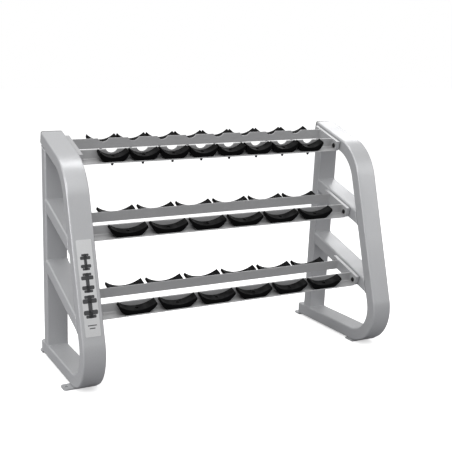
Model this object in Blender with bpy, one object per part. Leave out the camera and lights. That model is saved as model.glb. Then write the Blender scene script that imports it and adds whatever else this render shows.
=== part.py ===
# Three-tier dumbbell rack: two bent tube end frames carry three sloping tiers, each a pair of
# steel angle rails with moulded saddles bolted along them. Metres, +Z up, +X along the rack and
# -Y at the front, with the origin on the floor under the middle of the rack.

import collections
import math

import bmesh
import bpy
from mathutils import Matrix, Vector

# End frames: 100 x 60 x 3 mm rectangular tube, laid flat so that its broad side faces outwards
RACK_LENGTH = 1.546
RACK_HEIGHT = 1.082
TUBE_WIDTH = 0.100
TUBE_DEPTH = 0.060
TUBE_WALL = 0.003
TUBE_CORNER = 0.008
TUBE_INNER_CORNER = 0.002
BASE_RUN = 0.745
LEG_LEAN = math.radians(14.7)
POST_LEAN = math.radians(5.5)
TIER_SLOPE = math.radians(18.2)
BASE_BEND_RADIUS = 0.161
TOP_BEND_RADIUS = 0.206
BEND_STEP = math.radians(8)
POST_INSET = 0.0375
TOP_OVERHANG = 0.017
MID_BAR_DROP = 0.302
LOW_BAR_HEIGHT = 0.493

# Foot plates, welded under and behind each end frame
FOOT_GAP = 0.008
FOOT_DEPTH = 0.064
FOOT_TAB = 0.041
FOOT_SETBACK = 0.459
FOOT_LIP = 0.005
HEEL_PLATE = 0.009
HEEL_TAB = 0.055
PLATE_CORNER = 0.014
ANCHOR_HOLE = 0.013
WELD_SINK = 0.001

# Tier rails, 50 x 50 x 5 mm angle, and the pressed brackets that carry their ends
RAIL_LEG = 0.050
RAIL_PLATE = 0.005
RAIL_GAP = 0.114
NOTCH_RADIUS = 0.028
NOTCH_DEPTH = 0.018
BRACKET_WIDTH = 0.022
BRACKET_PLATE = 0.0035
BRACKET_CORNER = 0.009
BRACKET_HOLE = 0.011
BRACKET_HOLE_REACH = 0.085
BRACKET_HOLE_DROP = 0.028

# Saddles
SADDLE_DEPTH = 0.043
SADDLE_HEIGHT = 0.049
SADDLE_FLOOR = 0.020
SADDLE_LAND = 0.004
SADDLE_END = 0.011
SADDLE_HEEL = 0.024
SADDLE_BOLT_HOLE = 0.007

# Gap kept between pieces that touch
FIT = 0.0003

# Edges that turn more than this stay sharp
SHARP_ANGLE = math.radians(50)

# How finely round shapes are divided
HOLE_SIDES = 10
ANCHOR_HOLE_SIDES = 12
NOTCH_SIDES = 24
CRADLE_STEPS = 10

Saddle = collections.namedtuple("Saddle", "width base pitch")
LARGE_SADDLE = Saddle(width=0.176, base=0.108, pitch=0.1925)
SMALL_SADDLE = Saddle(width=0.139, base=0.094, pitch=0.1446)

# Setback is measured along the slope, from the front edge of the rails to the leg's inner face,
# and drop from the bar's top face to the rails' top edges.
Tier = collections.namedtuple("Tier", "name setback drop saddle count notched")
TIERS = (
    Tier("top", 0.057, 0.011, SMALL_SADDLE, 8, True),
    Tier("mid", 0.038, 0.0065, LARGE_SADDLE, 6, False),
    Tier("low", 0.029, 0.006, LARGE_SADDLE, 6, False),
)

SIDES = (("left", -1), ("right", 1))
ENDS = (("rear", 1), ("front", -1))
AXES = {"X": Vector((1, 0, 0)), "Y": Vector((0, 1, 0)), "Z": Vector((0, 0, 1))}
FRAME_CENTRE = (RACK_LENGTH - TUBE_WIDTH) / 2
RAIL_LENGTH = RACK_LENGTH - 2 * TUBE_WIDTH - 2 * BRACKET_WIDTH - 4 * FIT
RAIL_FACE = RAIL_GAP / 2
SADDLE_MIDDLE = RAIL_FACE + RAIL_PLATE + FIT + SADDLE_DEPTH / 2
FLANGE_TOP = -RAIL_LEG + RAIL_PLATE

FINISHES = {
    "frame_silver": ((0.56, 0.57, 0.58, 1), 0.42, 0.35),
    "post_silver": ((0.54, 0.55, 0.56, 1), 0.42, 0.35),
    "crossbar_silver": ((0.56, 0.57, 0.58, 1), 0.42, 0.35),
    "rail_grey": ((0.36, 0.36, 0.37, 1), 0.40, 0.55),
    "bracket_silver": ((0.60, 0.61, 0.62, 1), 0.40, 0.45),
    "saddle_black": ((0.020, 0.020, 0.021, 1), 0.55, 0.0),
}


# Lines and bends in the end frame's side plane, where a point is (y, z)

Line = collections.namedtuple("Line", "point direction")


def inward(direction):
    """The unit normal that points into the end frame, when the frame is followed clockwise."""
    return Vector((direction.y, -direction.x))


def shifted(line, distance):
    return Line(line.point + inward(line.direction) * distance, line.direction)


def crossing(first, second):
    apart = second.point - first.point
    spread = first.direction.x * second.direction.y - first.direction.y * second.direction.x
    travel = (apart.x * second.direction.y - apart.y * second.direction.x) / spread
    return first.point + first.direction * travel


def at_height(line, height):
    travel = (height - line.point.y) / line.direction.y
    return line.point + line.direction * travel


def bend(first, second, radius):
    """Points and inward normals along the arc that rounds the corner between two lines."""
    turn = first.direction.angle(second.direction)
    steps = math.ceil(turn / BEND_STEP)
    start = crossing(first, second) - first.direction * (radius * math.tan(turn / 2))
    centre = start + inward(first.direction) * radius
    stations = []
    for step in range(steps + 1):
        normal = Matrix.Rotation(-turn * step / steps, 2) @ inward(first.direction)
        stations.append((centre - normal * radius, normal))
    return stations


def end_frame_lines():
    """The outer faces of the end frame, with the rear end of the base bar at y = 0."""
    base_direction = Vector((-1, 0))
    leg_direction = Vector((math.sin(LEG_LEAN), math.cos(LEG_LEAN)))
    top_direction = Vector((math.cos(TIER_SLOPE), math.sin(TIER_SLOPE)))
    post_direction = Vector((math.sin(POST_LEAN), -math.cos(POST_LEAN)))
    base = Line(Vector((0, FOOT_GAP)), base_direction)
    leg = Line(Vector((-BASE_RUN, FOOT_GAP)), leg_direction)
    post = Line(Vector((-POST_INSET, FOOT_GAP)), post_direction)
    lower_corner = at_height(post, RACK_HEIGHT - TUBE_DEPTH * math.cos(TIER_SLOPE))
    lower_corner += Vector((TOP_OVERHANG, 0))
    top = Line(lower_corner - inward(top_direction) * TUBE_DEPTH, top_direction)
    return base, leg, top, post


BASE_FACE, LEG_FACE, TOP_FACE, POST_FACE = end_frame_lines()
POST_FRONT = shifted(POST_FACE, TUBE_DEPTH)
LEG_BACK = shifted(LEG_FACE, TUBE_DEPTH)
BAR_FACES = {
    "top": TOP_FACE,
    "mid": Line(at_height(POST_FRONT, RACK_HEIGHT - MID_BAR_DROP), TOP_FACE.direction),
    "low": Line(at_height(POST_FRONT, LOW_BAR_HEIGHT), TOP_FACE.direction),
}
BASE_AXIS = shifted(BASE_FACE, TUBE_DEPTH / 2)
LEG_AXIS = shifted(LEG_FACE, TUBE_DEPTH / 2)
TOP_AXIS = shifted(TOP_FACE, TUBE_DEPTH / 2)
BASE_BEND = bend(BASE_AXIS, LEG_AXIS, BASE_BEND_RADIUS)
TOP_BEND = bend(LEG_AXIS, TOP_AXIS, TOP_BEND_RADIUS)


def middle_of_depth():
    """Where the middle of the whole rack's depth lies, between the base bend and the heel tabs."""
    bend_centre = BASE_BEND[0][0] + BASE_BEND[0][1] * BASE_BEND_RADIUS
    front = bend_centre.x - BASE_BEND_RADIUS - TUBE_DEPTH / 2
    return (front + HEEL_TAB) / 2


SHIFT = -middle_of_depth()


# Meshes and objects

def new_object(name, mesh, finish, location=(0, 0, 0), parent=None):
    obj = bpy.data.objects.new(name, mesh)
    bpy.context.scene.collection.objects.link(obj)
    obj.location = location
    obj.parent = parent
    if not mesh.materials:
        mesh.materials.append(finish)
    return obj


def make_finish(name):
    colour, roughness, metallic = FINISHES[name]
    material = bpy.data.materials.new(name)
    material.use_nodes = True
    shader = material.node_tree.nodes["Principled BSDF"]
    shader.inputs["Base Color"].default_value = colour
    shader.inputs["Roughness"].default_value = roughness
    shader.inputs["Metallic"].default_value = metallic
    material.diffuse_color = colour
    return material


def finished_mesh(bm, name):
    bmesh.ops.recalc_face_normals(bm, faces=bm.faces)
    mesh = bpy.data.meshes.new(name)
    bm.to_mesh(mesh)
    bm.free()
    return mesh


def skin(bm, rings):
    """Faces between rings of equally many vertices."""
    for near, far in zip(rings, rings[1:]):
        for i in range(len(near)):
            j = (i + 1) % len(near)
            bm.faces.new((near[i], near[j], far[j], far[i]))


def tube_mesh(name, outer, inner):
    """A hollow tube with open ends, from its outer and inner rings of points."""
    bm = bmesh.new()
    outer = [[bm.verts.new(point) for point in ring] for ring in outer]
    inner = [[bm.verts.new(point) for point in ring] for ring in inner]
    skin(bm, outer)
    skin(bm, inner)
    skin(bm, [outer[0], inner[0]])
    skin(bm, [outer[-1], inner[-1]])
    return finished_mesh(bm, name)


def prism_mesh(name, outline, place, near, far):
    """A solid of the given outline, extruded; place turns (a, b, travel) into a point."""
    bm = bmesh.new()
    ring = [bm.verts.new(place(a, b, near)) for a, b in outline]
    cap = bm.faces.new(ring)
    grown = bmesh.ops.extrude_face_region(bm, geom=[cap])["geom"]
    for vert in (item for item in grown if isinstance(item, bmesh.types.BMVert)):
        vert.co = vert.co + Vector(place(0, 0, far)) - Vector(place(0, 0, near))
    return finished_mesh(bm, name)


def arc(centre, radius, start, end, steps):
    """Points on a circle, with the angles in degrees."""
    points = []
    for step in range(steps + 1):
        angle = math.radians(start + (end - start) * step / steps)
        points.append((centre[0] + radius * math.cos(angle), centre[1] + radius * math.sin(angle)))
    return points


def rounded_rectangle(width, height, radius, steps):
    points = []
    for quarter, (sx, sy) in enumerate(((1, 1), (-1, 1), (-1, -1), (1, -1))):
        centre = (sx * (width / 2 - radius), sy * (height / 2 - radius))
        points += arc(centre, radius, 90 * quarter, 90 * quarter + 90, steps)
    return points


def combine(obj, tool_meshes, operation):
    """Unites obj with the tools, or cuts them out of it, one after another."""
    for mesh in tool_meshes:
        tool = bpy.data.objects.new(mesh.name, mesh)
        bpy.context.scene.collection.objects.link(tool)
        tool.hide_render = True
        tool.display_type = "WIRE"
        boolean = obj.modifiers.new("shape", "BOOLEAN")
        boolean.operation = operation
        boolean.solver = "EXACT"
        boolean.object = tool
        depsgraph = bpy.context.evaluated_depsgraph_get()
        obj.data = bpy.data.meshes.new_from_object(obj.evaluated_get(depsgraph))
        obj.modifiers.clear()
        bpy.data.objects.remove(tool)


def many_cylinders(name, places, radius, half_length, axis, sides):
    """One mesh of separate cylinders along an axis, as a tool that drills many holes."""
    bm = bmesh.new()
    turn = Vector((0, 0, 1)).rotation_difference(AXES[axis]).to_matrix().to_4x4()
    for place in places:
        bmesh.ops.create_cone(
            bm, cap_ends=True, segments=sides, radius1=radius, radius2=radius,
            depth=2 * half_length, matrix=Matrix.Translation(place) @ turn,
        )
    return finished_mesh(bm, name)


# End frames: the bent tube with its two feet, the rear post and the two crossbars

def tube_section(inset):
    """The tube's outline, or the outline of its hollow when it is inset by the wall."""
    radius = max(TUBE_CORNER - inset, TUBE_INNER_CORNER)
    return rounded_rectangle(TUBE_WIDTH - 2 * inset, TUBE_DEPTH - 2 * inset, radius, 2)


def ring_across(point, normal, inset):
    points = []
    for x, depth in tube_section(inset):
        y, z = point + normal * depth
        points.append((x, y + SHIFT, z))
    return points


def loop_mesh(name):
    heel = (BASE_AXIS.point, inward(BASE_FACE.direction))
    tail = (TOP_AXIS.point, inward(TOP_FACE.direction))
    stations = [heel] + BASE_BEND + TOP_BEND + [tail]
    outer = [ring_across(point, normal, 0) for point, normal in stations]
    inner = [ring_across(point, normal, TUBE_WALL) for point, normal in stations]
    return tube_mesh(name, outer, inner)


def front_foot_mesh(side):
    """The plate under the base bar, with its rounded tab on the outer side."""
    inner_edge = -TUBE_WIDTH / 2 - FOOT_LIP
    outer_edge = TUBE_WIDTH / 2 + FOOT_TAB
    back = -FOOT_SETBACK + SHIFT
    front = back - FOOT_DEPTH
    outline = [(inner_edge, back), (inner_edge, front)]
    outline += arc((outer_edge - PLATE_CORNER, front + PLATE_CORNER), PLATE_CORNER, -90, 0, 4)
    outline += arc((outer_edge - PLATE_CORNER, back - PLATE_CORNER), PLATE_CORNER, 0, 90, 4)
    top = FOOT_GAP + WELD_SINK
    return prism_mesh("front_foot", outline, lambda x, y, z: (side * x, y, z), 0, top)


def heel_plate_mesh():
    """The upright plate that closes the rear end of the base bar."""
    half = TUBE_WIDTH / 2
    top = FOOT_GAP + TUBE_DEPTH
    corner = TUBE_CORNER
    outline = [(-half, 0), (half, 0)]
    outline += arc((half - corner, top - corner), corner, 0, 90, 3)
    outline += arc((-half + corner, top - corner), corner, 90, 180, 3)
    near = SHIFT - WELD_SINK
    return prism_mesh("heel_plate", outline, lambda x, z, y: (x, y, z), near, SHIFT + HEEL_PLATE)


def heel_tab_mesh():
    """The tab that lies on the floor behind the heel plate."""
    half = TUBE_WIDTH / 2
    back = SHIFT + HEEL_TAB
    outline = [(-half, SHIFT + WELD_SINK), (half, SHIFT + WELD_SINK)]
    outline += arc((half - PLATE_CORNER, back - PLATE_CORNER), PLATE_CORNER, 0, 90, 4)
    outline += arc((-half + PLATE_CORNER, back - PLATE_CORNER), PLATE_CORNER, 90, 180, 4)
    return prism_mesh("heel_tab", outline, lambda x, y, z: (x, y, z), 0, HEEL_PLATE)


def anchor_drill(side):
    front_x = side * (TUBE_WIDTH / 2 + FOOT_TAB / 2)
    front_y = SHIFT - FOOT_SETBACK - FOOT_DEPTH / 2
    heel_y = SHIFT + HEEL_PLATE + (HEEL_TAB - HEEL_PLATE) / 2
    places = [(front_x, front_y, 0), (0, heel_y, 0)]
    radius = ANCHOR_HOLE / 2
    return many_cylinders("anchor_drill", places, radius, 2 * FOOT_GAP, "Z", ANCHOR_HOLE_SIDES)


def bracket_drill(tier, side):
    """Drills the inner side wall of a bar for the two bolts of a tier's bracket."""
    inner_wall = -side * TUBE_WIDTH / 2
    y, z = tier_origin(tier)
    along = BAR_FACES[tier.name].direction
    down = inward(along)
    places = []
    for _, end in ENDS:
        hole = Vector((y, z)) + along * (end * BRACKET_HOLE_REACH) + down * BRACKET_HOLE_DROP
        places.append((inner_wall, hole.x + SHIFT, hole.y))
    radius = BRACKET_HOLE / 2
    return many_cylinders("bracket_drill", places, radius, 2 * TUBE_WALL, "X", HOLE_SIDES)


def make_end_frame(label, side, finish):
    frame = new_object("end_frame_" + label, loop_mesh("loop"), finish)
    combine(frame, [front_foot_mesh(side), heel_plate_mesh(), heel_tab_mesh()], "UNION")
    combine(frame, [anchor_drill(side), bracket_drill(TIERS[0], side)], "DIFFERENCE")
    frame.location.x = side * FRAME_CENTRE


def straight_member_mesh(name, face, start, end):
    """A tube whose outer face lies on one line and whose ends are cut along two others."""
    axis = shifted(face, TUBE_DEPTH / 2)
    normal = inward(face.direction)

    def cut(line, inset):
        points = []
        for x, depth in tube_section(inset):
            y, z = crossing(Line(axis.point + normal * depth, axis.direction), line)
            points.append((x, y + SHIFT, z))
        return points

    outer = [cut(start, 0), cut(end, 0)]
    inner = [cut(start, TUBE_WALL), cut(end, TUBE_WALL)]
    return tube_mesh(name, outer, inner)


def make_posts(finish):
    head = shifted(TOP_FACE, TUBE_DEPTH + FIT)
    heel = shifted(BASE_FACE, TUBE_DEPTH + FIT)
    mesh = straight_member_mesh("rear_post", POST_FACE, head, heel)
    for label, side in SIDES:
        new_object("rear_post_" + label, mesh, finish, (side * FRAME_CENTRE, 0, 0))


def make_crossbars(tier, finish):
    leg = shifted(LEG_FACE, TUBE_DEPTH + FIT)
    post = shifted(POST_FACE, TUBE_DEPTH + FIT)
    for label, side in SIDES:
        mesh = straight_member_mesh(tier.name + "_crossbar", BAR_FACES[tier.name], leg, post)
        crossbar = new_object(tier.name + "_crossbar_" + label, mesh, finish)
        combine(crossbar, [bracket_drill(tier, side)], "DIFFERENCE")
        crossbar.location.x = side * FRAME_CENTRE


# Tiers: in a tier's own frame +Y runs up the slope to the back and Z = 0 is the rails' top edge

def tier_origin(tier):
    """The middle of the tier, level with its rails' top edges, in the side plane."""
    face = BAR_FACES[tier.name]
    meeting = crossing(face, LEG_BACK)
    back_by = tier.setback + RAIL_LEG + RAIL_GAP / 2
    return meeting + face.direction * back_by + inward(face.direction) * tier.drop


def make_tier_frame(tier):
    y, z = tier_origin(tier)
    holder = bpy.data.objects.new(tier.name + "_tier", None)
    bpy.context.scene.collection.objects.link(holder)
    holder.location = (0, y + SHIFT, z)
    holder.rotation_euler = (TIER_SLOPE, 0, 0)
    return holder


def saddle_places(tier):
    first = -tier.saddle.pitch * (tier.count - 1) / 2
    return [first + tier.saddle.pitch * i for i in range(tier.count)]


def rail_mesh(tier, end):
    """An angle rail: one leg stands at the middle of the tier, the other points away from it."""
    near = end * RAIL_FACE
    outline = [
        (near, 0),
        (near, -RAIL_LEG),
        (near + end * RAIL_LEG, -RAIL_LEG),
        (near + end * RAIL_LEG, FLANGE_TOP),
        (near + end * RAIL_PLATE, FLANGE_TOP),
        (near + end * RAIL_PLATE, 0),
    ]
    half = RAIL_LENGTH / 2
    return prism_mesh(tier.name + "_rail", outline, lambda y, z, x: (x, y, z), -half, half)


def rail_tools(tier, end):
    """Tools for the saddle bolt holes and for the notches behind small saddles."""
    rows = saddle_places(tier)
    bolts = [(x, end * SADDLE_MIDDLE, FLANGE_TOP) for x in rows]
    radius = SADDLE_BOLT_HOLE / 2
    reach = 2 * RAIL_PLATE
    tools = [many_cylinders("saddle_bolt_drill", bolts, radius, reach, "Z", HOLE_SIDES)]
    if tier.notched:
        lift = NOTCH_RADIUS - NOTCH_DEPTH
        notches = [(x, end * RAIL_FACE, lift) for x in rows]
        cutter = many_cylinders("notch_cutter", notches, NOTCH_RADIUS, reach, "Y", NOTCH_SIDES)
        tools.append(cutter)
    return tools


def make_rails(tier, holder, finish):
    for place, end in ENDS:
        name = tier.name + "_" + place + "_rail"
        rail = new_object(name, rail_mesh(tier, end), finish)
        combine(rail, rail_tools(tier, end), "DIFFERENCE")
        rail.parent = holder


def bracket_outline(inset):
    """The bracket seen along the rack: a long plate whose lower corners are rounded."""
    half = RAIL_FACE + RAIL_LEG - inset
    bottom = -RAIL_LEG + inset
    radius = BRACKET_CORNER - inset
    outline = [(half, -inset), (-half, -inset)]
    outline += arc((-half + radius, bottom + radius), radius, 180, 270, 3)
    outline += arc((half - radius, bottom + radius), radius, 270, 360, 3)
    return outline


def bracket_mesh(side):
    """A shallow pressed tray: its plate carries the rails and its open side faces the bar."""
    near = side * (RAIL_LENGTH / 2 + FIT)
    far = near + side * BRACKET_WIDTH
    return prism_mesh("bracket", bracket_outline(0), lambda y, z, x: (x, y, z), near, far)


def bracket_tools(side):
    near = side * (RAIL_LENGTH / 2 + FIT)
    floor = near + side * BRACKET_PLATE
    beyond = near + side * 2 * BRACKET_WIDTH
    pocket = bracket_outline(BRACKET_PLATE)
    holes = [(near, end * BRACKET_HOLE_REACH, -BRACKET_HOLE_DROP) for _, end in ENDS]
    radius = BRACKET_HOLE / 2
    return [
        prism_mesh("pocket", pocket, lambda y, z, x: (x, y, z), floor, beyond),
        many_cylinders("web_drill", holes, radius, 2 * BRACKET_PLATE, "X", HOLE_SIDES),
    ]


def make_brackets(tier, holder, finish):
    for label, side in SIDES:
        bracket = new_object(tier.name + "_bracket_" + label, bracket_mesh(side), finish)
        combine(bracket, bracket_tools(side), "DIFFERENCE")
        bracket.parent = holder


def saddle_outline(saddle):
    """A crescent seen from the front: blunt horns, flanks that round in to a flat base's heels."""
    floor = FLANGE_TOP + FIT
    top = floor + SADDLE_HEIGHT
    half = saddle.width / 2
    inner = half - SADDLE_LAND
    sag = SADDLE_HEIGHT - SADDLE_FLOOR
    radius = (inner ** 2 + sag ** 2) / (2 * sag)
    swing = math.degrees(math.asin(inner / radius))
    cradle = arc((0, top - sag + radius), radius, 270 - swing, 270 + swing, CRADLE_STEPS)
    half_base = saddle.base / 2
    rise = SADDLE_HEIGHT - SADDLE_END
    flank_centre = (half ** 2 + rise ** 2 - half_base ** 2) / (2 * rise)
    flank_radius = math.hypot(half_base, flank_centre)
    heel = math.sqrt((flank_radius - SADDLE_HEEL) ** 2 - (flank_centre - SADDLE_HEEL) ** 2)
    lowest = math.degrees(math.atan2(SADDLE_HEEL - flank_centre, heel))
    highest = math.degrees(math.atan2(rise - flank_centre, half))
    right = arc((0, floor + flank_centre), flank_radius, highest, lowest, 4)
    right += arc((heel, floor + SADDLE_HEEL), SADDLE_HEEL, lowest, -90, 2)[1:]
    left = [(-x, z) for x, z in reversed(right)]
    return cradle + right + left


def saddle_mesh(saddle):
    outline = saddle_outline(saddle)
    near = -SADDLE_DEPTH / 2
    far = SADDLE_DEPTH / 2
    mesh = prism_mesh("saddle", outline, lambda x, z, y: (x, y, z), near, far)
    blank = bpy.data.objects.new("saddle_blank", mesh)
    bpy.context.scene.collection.objects.link(blank)
    hole = [(0, 0, FLANGE_TOP)]
    radius = SADDLE_BOLT_HOLE / 2
    drill = many_cylinders("bolt_drill", hole, radius, SADDLE_HEIGHT, "Z", HOLE_SIDES)
    combine(blank, [drill], "DIFFERENCE")
    drilled = blank.data
    bpy.data.objects.remove(blank)
    return drilled


def make_saddles(tier, holder, mesh, finish):
    for place, end in ENDS:
        for number, x in enumerate(saddle_places(tier), 1):
            name = "{}_{}_saddle_{}".format(tier.name, place, number)
            new_object(name, mesh, finish, (x, end * SADDLE_MIDDLE, 0), holder)


def shade_smooth():
    """Smooth shading over the bends and the round edges, with sharp creases kept."""
    for mesh in {obj.data for obj in bpy.data.objects if obj.type == "MESH"}:
        mesh.shade_smooth()
        mesh.set_sharp_from_angle(angle=SHARP_ANGLE)


def main():
    for obj in list(bpy.data.objects):
        bpy.data.objects.remove(obj)
    finishes = {name: make_finish(name) for name in FINISHES}
    for label, side in SIDES:
        make_end_frame(label, side, finishes["frame_silver"])
    make_posts(finishes["post_silver"])
    for tier in TIERS[1:]:
        make_crossbars(tier, finishes["crossbar_silver"])
    meshes = {saddle: saddle_mesh(saddle) for saddle in (SMALL_SADDLE, LARGE_SADDLE)}
    for tier in TIERS:
        holder = make_tier_frame(tier)
        make_rails(tier, holder, finishes["rail_grey"])
        make_brackets(tier, holder, finishes["bracket_silver"])
        make_saddles(tier, holder, meshes[tier.saddle], finishes["saddle_black"])
    shade_smooth()


main()
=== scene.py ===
import math

import bmesh
import bpy
from mathutils import Matrix, Vector


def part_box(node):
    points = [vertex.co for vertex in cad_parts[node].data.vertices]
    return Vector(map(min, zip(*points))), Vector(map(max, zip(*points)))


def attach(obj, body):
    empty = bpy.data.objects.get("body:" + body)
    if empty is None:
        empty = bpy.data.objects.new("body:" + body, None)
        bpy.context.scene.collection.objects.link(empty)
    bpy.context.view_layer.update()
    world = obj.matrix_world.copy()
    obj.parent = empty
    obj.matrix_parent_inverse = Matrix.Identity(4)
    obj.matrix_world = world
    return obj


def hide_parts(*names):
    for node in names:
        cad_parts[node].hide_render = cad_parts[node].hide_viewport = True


# Three-tier dumbbell rack: fine pieces, finishes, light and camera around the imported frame.
# Metres, +X along the rack, -Y at the front, +Z up.

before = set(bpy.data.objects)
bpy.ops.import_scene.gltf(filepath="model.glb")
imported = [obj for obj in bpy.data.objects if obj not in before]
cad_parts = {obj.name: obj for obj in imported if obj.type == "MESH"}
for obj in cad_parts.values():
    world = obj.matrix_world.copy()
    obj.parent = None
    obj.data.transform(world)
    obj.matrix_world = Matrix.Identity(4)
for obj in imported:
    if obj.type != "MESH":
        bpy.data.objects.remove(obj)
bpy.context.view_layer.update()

# sizes that many pieces share

rack = {
    "length": 1.546,
    "height": 1.082,
    "tierSlope": 18.2,      # degrees
    "legLean": 14.7,
    "postLean": 5.5,
    "baseRun": 0.745,
    "floorGap": 0.008,      # under the base bars
    "heelReach": 0.055,     # of the floor tab behind the base bar
    "postInset": 0.0375,
    "topOverhang": 0.017,
    "midBarDrop": 0.302,    # from the rack's top to the middle crossbars
    "lowBarHeight": 0.493,
    "fit": 0.0003,          # between pieces that touch
    "lift": 0.0001,         # of small parts off the face they lie on
}

tube = {
    "width": 0.100,
    "depth": 0.060,
    "corner": 0.008,
    "baseBend": 0.161,
    "topBend": 0.206,
    "bendSteps": 48,
    "cornerSteps": 6,
}

tiers = {
    "top": {"setback": 0.057, "drop": 0.011, "saddle": "small", "count": 8, "notched": True},
    "mid": {"setback": 0.038, "drop": 0.0065, "saddle": "large", "count": 6, "notched": False},
    "low": {"setback": 0.029, "drop": 0.006, "saddle": "large", "count": 6, "notched": False},
}

sides = {"left": -1, "right": 1}
ends = {"rear": 1, "front": -1}
frameCentre = (rack["length"] - tube["width"]) / 2
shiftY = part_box("end_frame_left")[1][1] - rack["heelReach"]  # rear end of the base bars


def inward(direction):
    # lines in the side plane are (point, direction), with points as (y, z)
    return Vector((direction.y, -direction.x))


def offset(line, distance):
    return (line[0] + inward(line[1]) * distance, line[1])


def meet(first, second):
    apart = second[0] - first[0]
    spread = first[1].x * second[1].y - first[1].y * second[1].x
    return first[0] + first[1] * ((apart.x * second[1].y - apart.y * second[1].x) / spread)


def atHeight(line, height):
    return line[0] + line[1] * ((height - line[0].y) / line[1].y)


def placed(x, point):
    return Vector((x, point.x + shiftY, point.y))


def outerFaces():
    lean, slope, tilt = (math.radians(rack[key]) for key in ("legLean", "tierSlope", "postLean"))
    base = (Vector((0, rack["floorGap"])), Vector((-1, 0)))
    leg = (Vector((-rack["baseRun"], rack["floorGap"])), Vector((math.sin(lean), math.cos(lean))))
    post = (Vector((-rack["postInset"], rack["floorGap"])), Vector((math.sin(tilt), -math.cos(tilt))))
    along = Vector((math.cos(slope), math.sin(slope)))
    under = atHeight(post, rack["height"] - tube["depth"] * math.cos(slope))
    top = (under + Vector((rack["topOverhang"], 0)) - inward(along) * tube["depth"], along)
    return base, leg, top, post


baseFace, legFace, topFace, postFace = outerFaces()
legBack = offset(legFace, tube["depth"])
postFront = offset(postFace, tube["depth"])
barHeights = {"mid": rack["height"] - rack["midBarDrop"], "low": rack["lowBarHeight"]}
barFaces = {"top": topFace}
for level, height in barHeights.items():
    barFaces[level] = (atHeight(postFront, height), topFace[1])
slopeAngle = math.radians(rack["tierSlope"])


def addObject(name, data):
    obj = bpy.data.objects.new(name, data)
    bpy.context.scene.collection.objects.link(obj)
    return obj


def evaluated(obj):
    # the object's mesh with its modifiers in it; the object itself goes
    mesh = bpy.data.meshes.new_from_object(obj.evaluated_get(bpy.context.evaluated_depsgraph_get()))
    bpy.data.objects.remove(obj)
    return mesh


def meshFrom(bm, name):
    bmesh.ops.recalc_face_normals(bm, faces=bm.faces)
    mesh = bpy.data.meshes.new(name)
    bm.to_mesh(mesh)
    bm.free()
    return mesh


def skin(bm, rings):
    # a face across the first and the last ring of points, and faces between neighbouring rings
    loops = [[bm.verts.new(point) for point in ring] for ring in rings]
    bm.faces.new(loops[0])
    bm.faces.new(loops[-1])
    for near, far in zip(loops, loops[1:]):
        for i in range(len(near)):
            j = (i + 1) % len(near)
            bm.faces.new((near[i], near[j], far[j], far[i]))


def solid(name, rings):
    bm = bmesh.new()
    skin(bm, rings)
    return meshFrom(bm, name)


def prism(name, outline, place, near, far):
    # a solid of an outline; place turns (a, b, travel) into a point
    return solid(name, [[place(a, b, travel) for a, b in outline] for travel in (near, far)])


def arc(centre, radius, start, end, steps):
    points = []
    for step in range(steps + 1):
        angle = math.radians(start + (end - start) * step / steps)
        points.append((centre[0] + radius * math.cos(angle), centre[1] + radius * math.sin(angle)))
    return points


def roundedBox(width, length, corner, steps):
    points = []
    for quarter, (across, along) in enumerate(((1, 1), (-1, 1), (-1, -1), (1, -1))):
        centre = (across * (width / 2 - corner), along * (length / 2 - corner))
        points += arc(centre, corner, 90 * quarter, 90 * quarter + 90, steps)
    return points


def cylinders(name, places, radius, halfLength, axis, steps=40, flare=1.0):
    bm = bmesh.new()
    turn = Vector((0, 0, 1)).rotation_difference(Vector(axis)).to_matrix().to_4x4()
    for place in places:
        bmesh.ops.create_cone(
            bm, cap_ends=True, segments=steps, radius1=radius, radius2=radius * flare,
            depth=2 * halfLength, matrix=Matrix.Translation(place) @ turn,
        )
    return meshFrom(bm, name)


def shaped(mesh, bevel=0.0, bevelSteps=2, cutters=(), rimBevel=0.0):
    # rounds the sharp edges, cuts the mesh with the cutters, then rounds what they left
    obj = addObject(mesh.name, mesh)
    tools = []
    if bevel:
        addBevel(obj, bevel, bevelSteps)
    for cutter in cutters:
        tool = addObject(cutter.name, cutter)
        tool.hide_render = True
        cut = obj.modifiers.new("cut", "BOOLEAN")
        cut.operation = "DIFFERENCE"
        cut.solver = "EXACT"
        cut.object = tool
        tools.append(tool)
    if rimBevel:
        addBevel(obj, rimBevel, 2)
    result = evaluated(obj)
    for tool in tools:
        bpy.data.objects.remove(tool)
    return result


def addBevel(obj, width, steps):
    bevel = obj.modifiers.new("bevel", "BEVEL")
    bevel.width = width
    bevel.segments = steps
    bevel.limit_method = "ANGLE"
    bevel.angle_limit = math.radians(40)


def finishPiece(name, mesh, finish, slot, nodes=(), sharp=38):
    # smooth faces with weighted normals, then the piece takes its place on the frame
    mesh.materials.clear()
    mesh.materials.append(finishes[finish])
    for face in mesh.polygons:
        face.material_index = 0
    mesh.shade_smooth()
    mesh.set_sharp_from_angle(angle=math.radians(sharp))
    draft = addObject(name + "Draft", mesh)
    weigh = draft.modifiers.new("weigh", "WEIGHTED_NORMAL")
    weigh.keep_sharp = True
    piece = addObject(name, evaluated(draft))
    piece.data.name = name
    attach(piece, "root")
    if nodes:
        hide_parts(*nodes)


def feed(tree, socket, source):
    # the source is a node, whose first output is taken, a socket or a fixed value
    if isinstance(source, bpy.types.Node):
        source = source.outputs[0]
    if isinstance(source, bpy.types.NodeSocket):
        tree.links.new(source, socket)
    else:
        socket.default_value = source


def put(tree, kind, inputs=None, **settings):
    # a node with its settings, and what feeds its inputs
    node = tree.nodes.new(kind)
    for name, value in settings.items():
        setattr(node, name, value)
    for key, source in (inputs or {}).items():
        feed(tree, node.inputs[key], source)
    return node


def maths(tree, operation, *sources):
    return put(tree, "ShaderNodeMath", dict(enumerate(sources)), operation=operation)


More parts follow.
